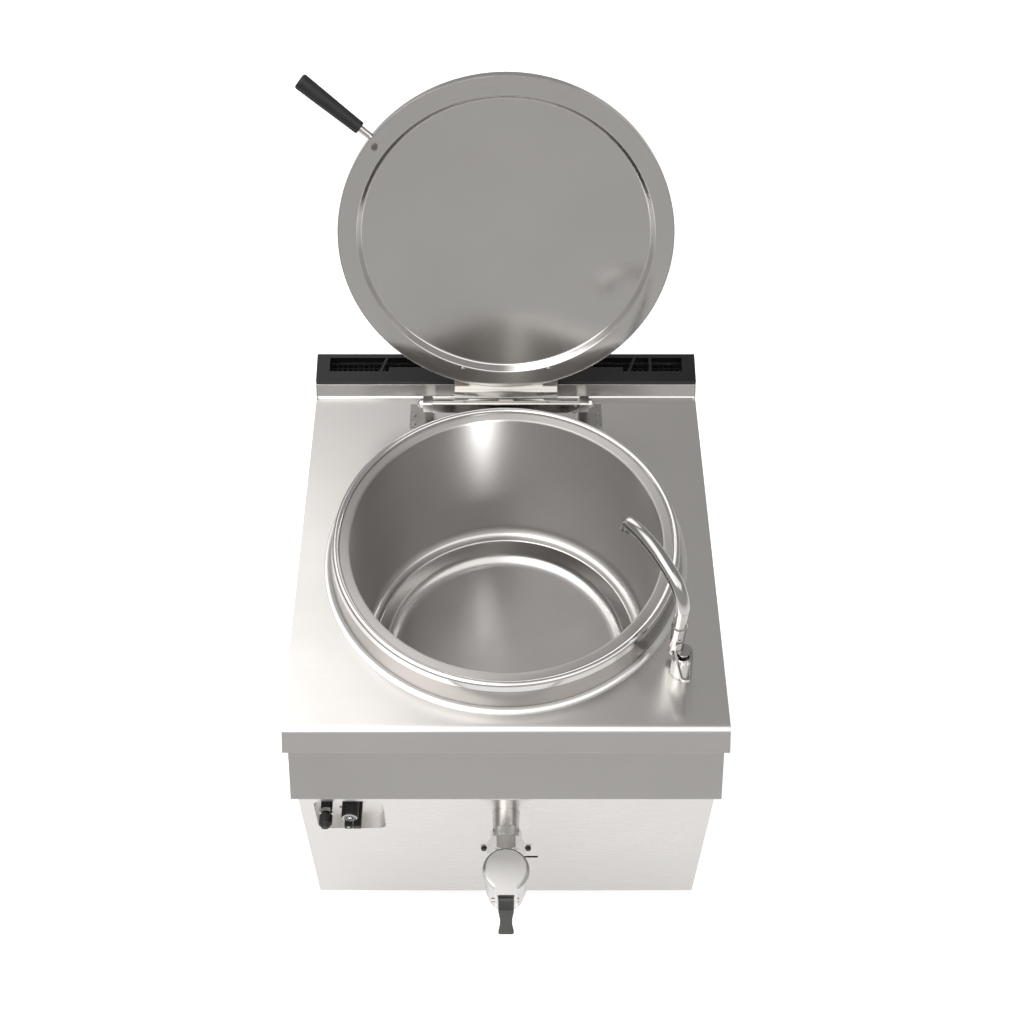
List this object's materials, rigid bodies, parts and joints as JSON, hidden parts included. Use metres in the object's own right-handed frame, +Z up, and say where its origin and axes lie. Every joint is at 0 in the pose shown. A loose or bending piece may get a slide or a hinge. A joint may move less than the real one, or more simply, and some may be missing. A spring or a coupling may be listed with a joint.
{
  "type": "boiling pan",
  "caption": "Free-standing gas boiling pan in stainless steel with a round pan, a spring-balanced hinged lid, a swivel water tap and a front drain valve.",
  "frame": {"origin": "centre of the bounding box on the floor, below the pan", "axes": "+X is the pan's right seen from the front, +Y is its back, +Z is up"},
  "size_m": [0.8, 1.2476, 1.5459],
  "materials": {
    "top_steel": "fine brushed stainless steel sheet",
    "pan_steel": "satin polished stainless steel, spun and welded",
    "panel_steel": "brushed stainless steel sheet",
    "lid_steel": "satin polished stainless steel",
    "chrome": "bright chrome plate on brass",
    "machined_steel": "machined stainless steel",
    "black_enamel": "black vitreous enamel on sheet steel",
    "black_plastic": "black moulded heat-proof plastic",
    "dial_face": "satin anodised aluminium disc",
    "brass_pipe": "plain brass and copper tube",
    "aluminised_steel": "dull aluminised steel",
    "mineral_wool": "mineral wool felt"
  },
  "bodies": {
    "cabinet": {"worktop": "top_steel", "pan_collar": "top_steel", "pan_shell": "pan_steel", "control_panel": "top_steel", "front_panel": "panel_steel", "side_panel_left": "panel_steel", "side_panel_right": "panel_steel", "back_panel": "panel_steel", "base_frame": "aluminised_steel", "legs": "machined_steel", "foot_front_left": "machined_steel", "foot_front_right": "machined_steel", "foot_rear_left": "machined_steel", "foot_rear_right": "machined_steel", "flue_cover": "black_enamel", "flue_mesh": "black_enamel", "flue_box": "aluminised_steel", "hinge_bearing_left": "machined_steel", "hinge_bearing_right": "machined_steel", "hinge_rod": "machined_steel", "hinge_nuts": "machined_steel", "hinge_cover": "machined_steel", "hinge_springs": "machined_steel", "hinge_screws": "machined_steel", "tap_body": "chrome", "tap_spout_nut": "chrome", "tap_back_nut": "chrome", "water_pipe": "machined_steel", "drain_pipe": "machined_steel", "drain_plate": "machined_steel", "drain_plate_bolts": "black_plastic", "drain_ring": "chrome", "drain_union_nut": "chrome", "valve_body": "chrome", "control_recess": "panel_steel", "gas_valve": "brass_pipe", "igniter_body": "black_plastic", "burner": "aluminised_steel", "gas_manifold": "brass_pipe", "pilot_burner": "aluminised_steel", "gas_pipe": "brass_pipe", "combustion_casing": "aluminised_steel", "insulation": "mineral_wool"},
    "lid": {"lid_skin_outer": "lid_steel", "lid_liner": "lid_steel", "lid_bracket": "lid_steel", "lid_bracket_bolts": "machined_steel", "lid_handle_rod": "machined_steel", "lid_handle_nut": "machined_steel", "lid_grip": "black_plastic"},
    "spout": {"tap_spout": "chrome"},
    "tap_lever_body": {"tap_lever": "chrome"},
    "drain_plug": {"valve_plug": "chrome", "valve_pin": "machined_steel"},
    "drain_lever": {"drain_handle": "black_plastic"},
    "gas_knob_body": {"gas_knob": "black_plastic", "gas_knob_dial": "dial_face"},
    "pilot_button_body": {"pilot_button": "black_plastic"},
    "off_button_body": {"off_button": "black_plastic"},
    "igniter_button_body": {"igniter_button": "black_plastic"}
  },
  "joints": [
    {"name": "lid_hinge", "type": "hinge", "parent": "cabinet", "child": "lid", "pos_m": [0, 0.35368, 0.902], "axis": [1, 0, 0], "range_deg": [0, 106.8], "stiffness_Nm_per_rad": 14, "springref_deg": 16.79},
    {"name": "spout_swivel", "type": "hinge", "parent": "cabinet", "child": "spout", "pos_m": [0.30932, -0.22804, 0.949], "axis": [0, 0, 1], "range_deg": [-60, 0]},
    {"name": "tap_lever_turn", "type": "hinge", "parent": "cabinet", "child": "tap_lever_body", "pos_m": [0.318, -0.25832, 0.914], "axis": [0, 0, 1], "range_deg": [0, 90]},
    {"name": "drain_plug_turn", "type": "hinge", "parent": "cabinet", "child": "drain_plug", "pos_m": [0, -0.51482, 0.522], "axis": [0, 0, 1], "range_deg": [0, 90]},
    {"name": "drain_handle_lift", "type": "hinge", "parent": "drain_plug", "child": "drain_lever", "pos_m": [0, -0.57182, 0.5573], "axis": [-1, 0, 0], "range_deg": [0, 75]},
    {"name": "gas_knob_turn", "type": "hinge", "parent": "cabinet", "child": "gas_knob_body", "pos_m": [-0.3035, -0.37732, 0.532], "axis": [0, -1, 0], "range_deg": [0, 270]},
    {"name": "pilot_button_push", "type": "slide", "parent": "cabinet", "child": "pilot_button_body", "axis": [0, 1, 0], "range_m": [0, 0.005], "stiffness_N_per_m": 600, "springref_m": -0.002},
    {"name": "off_button_push", "type": "slide", "parent": "cabinet", "child": "off_button_body", "axis": [0, 1, 0], "range_m": [0, 0.005], "stiffness_N_per_m": 600, "springref_m": -0.002},
    {"name": "igniter_push", "type": "slide", "parent": "cabinet", "child": "igniter_button_body", "axis": [0, 1, 0], "range_m": [0, 0.004], "stiffness_N_per_m": 800, "springref_m": -0.002}
  ],
  "couplings": [
    {"joint": "spout_swivel", "follows": "lid_hinge", "ratio": -0.56}
  ]
}
